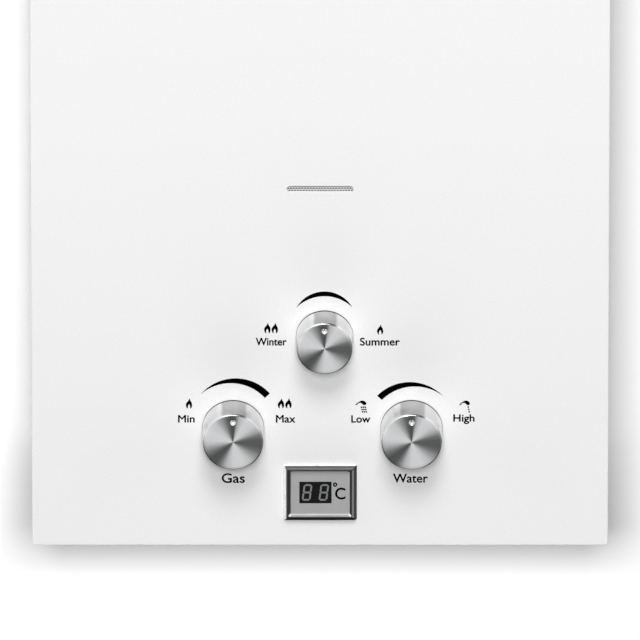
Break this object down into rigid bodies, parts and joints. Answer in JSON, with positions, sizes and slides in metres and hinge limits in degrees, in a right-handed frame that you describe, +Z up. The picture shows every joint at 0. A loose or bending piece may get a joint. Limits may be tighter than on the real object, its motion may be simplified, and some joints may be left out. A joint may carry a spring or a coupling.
{
  "type": "portable propane water heater",
  "caption": "Wall-hung propane water heater: white sheet casing with three turned knobs, a small digit display, a window slot, a flue collar and pipe connections.",
  "frame": {"origin": "centre of the four wall holes, on the wall plane", "axes": "+X right and +Z up for someone facing the heater, +Y into the wall, so the knobs face -Y"},
  "size_m": [0.33, 0.1601, 0.5197],
  "materials": {
    "enamel": "gloss",
    "galvanised": "spangled zinc",
    "zinc_screw": "bright zinc",
    "stainless": "brushed",
    "aluminised": "matte",
    "copper": "drawn copper",
    "mica": "clear",
    "burner_steel": "matte",
    "die_cast": "cast",
    "brass": "turned",
    "rubber": "matte",
    "spring_steel": "bright",
    "black_plastic": "fine grain",
    "cell_case": "satin sleeve",
    "grey_plastic": "satin",
    "cable_jacket": "satin",
    "ceramic": "glazed",
    "bezel_chrome": "polished",
    "module_black": "gloss",
    "segment_grey": "matte",
    "knob_aluminium": "turned, fine circular brushing"
  },
  "bodies": {
    "heater": {"front_cover": "enamel", "back_plate": "galvanised", "bottom_plate": "galvanised", "cover_screws": "zinc_screw", "flue_collar": "stainless", "flue_flange": "stainless", "collar_screws": "zinc_screw", "exhaust_hood": "aluminised", "exchanger_fins": "copper", "exchanger_tubes": "copper", "combustion_chamber": "copper", "sight_glass": "mica", "chamber_coil": "copper", "riser_pipe": "copper", "hot_pipe": "copper", "burner_bars": "burner_steel", "burner_frame": "burner_steel", "gas_manifold": "die_cast", "gas_nozzles": "brass", "support_brackets": "galvanised", "gas_valve_body": "die_cast", "gland_nuts": "brass", "solenoid_coil": "zinc_screw", "solenoid_spring": "spring_steel", "linkage_spring": "spring_steel", "water_valve_body": "brass", "diaphragm": "rubber", "water_valve_cover": "brass", "valve_screws": "zinc_screw", "micro_switch": "black_plastic", "gas_inlet": "brass", "cold_inlet": "brass", "hot_outlet": "brass", "battery_box": "black_plastic", "batteries": "cell_case", "ignition_controller": "grey_plastic", "electrode_leads": "cable_jacket", "overheat_switch": "die_cast", "temperature_probe": "stainless", "ignition_electrode": "ceramic", "flame_sensor": "ceramic", "window_mesh": "stainless", "display_bezel": "bezel_chrome", "display_face": "grey_plastic", "display_module": "module_black", "display_segments": "segment_grey", "display_back": "black_plastic", "display_cable": "cable_jacket"},
    "gas_control": {"gas_knob": "knob_aluminium", "gas_spindle": "brass"},
    "water_control": {"water_knob": "knob_aluminium", "water_spindle": "brass"},
    "season_control": {"season_knob": "knob_aluminium", "season_spindle": "brass"},
    "door": {"battery_door": "black_plastic"},
    "rod": {"push_rod": "stainless"},
    "lever": {"micro_switch_lever": "spring_steel"},
    "plunger": {"solenoid_plunger": "stainless"},
    "drain_ring": {"drain_seal": "rubber"},
    "drain_screw": {"drain_plug": "black_plastic"}
  },
  "joints": [
    {"name": "gas_knob_turn", "type": "hinge", "parent": "heater", "child": "gas_control", "pos_m": [-0.0497, -0.14, -0.157], "axis": [0, 1, 0], "range_deg": [-45, 45]},
    {"name": "water_knob_turn", "type": "hinge", "parent": "heater", "child": "water_control", "pos_m": [0.0524, -0.14, -0.157], "axis": [0, 1, 0], "range_deg": [-45, 45]},
    {"name": "season_knob_turn", "type": "hinge", "parent": "heater", "child": "season_control", "pos_m": [0.0026, -0.14, -0.1], "axis": [0, 1, 0], "range_deg": [-45, 45]},
    {"name": "battery_door_swing", "type": "hinge", "parent": "heater", "child": "door", "pos_m": [0.12, -0.0665, -0.2287], "axis": [1, 0, 0], "range_deg": [0, 95]},
    {"name": "push_rod_slide", "type": "slide", "parent": "heater", "child": "rod", "axis": [-1, 0, 0], "range_m": [0, 0.004], "stiffness_N_per_m": 500, "springref_m": -0.008, "deforming": ["linkage_spring", "diaphragm"]},
    {"name": "lever_swing", "type": "hinge", "parent": "heater", "child": "lever", "pos_m": [0.02425, -0.087, -0.157], "axis": [0, 0, 1], "range_deg": [0, 21]},
    {"name": "plunger_slide", "type": "slide", "parent": "heater", "child": "plunger", "axis": [-1, 0, 0], "range_m": [0, 0.003], "stiffness_N_per_m": 300, "springref_m": -0.006, "deforming": ["solenoid_spring"]},
    {"name": "drain_ring_slide", "type": "slide", "parent": "heater", "child": "drain_ring", "axis": [0, 0, -1], "range_m": [0, 0.0045]},
    {"name": "drain_plug_turn", "type": "hinge", "parent": "drain_ring", "child": "drain_screw", "pos_m": [0.0745, -0.09, -0.236], "axis": [0, 0, 1], "range_deg": [-1080, 0]}
  ],
  "couplings": [
    {"joint": "lever_swing", "follows": "push_rod_slide", "rad_per_m": 91},
    {"joint": "drain_plug_turn", "follows": "drain_ring_slide", "rad_per_m": -4188.7}
  ]
}
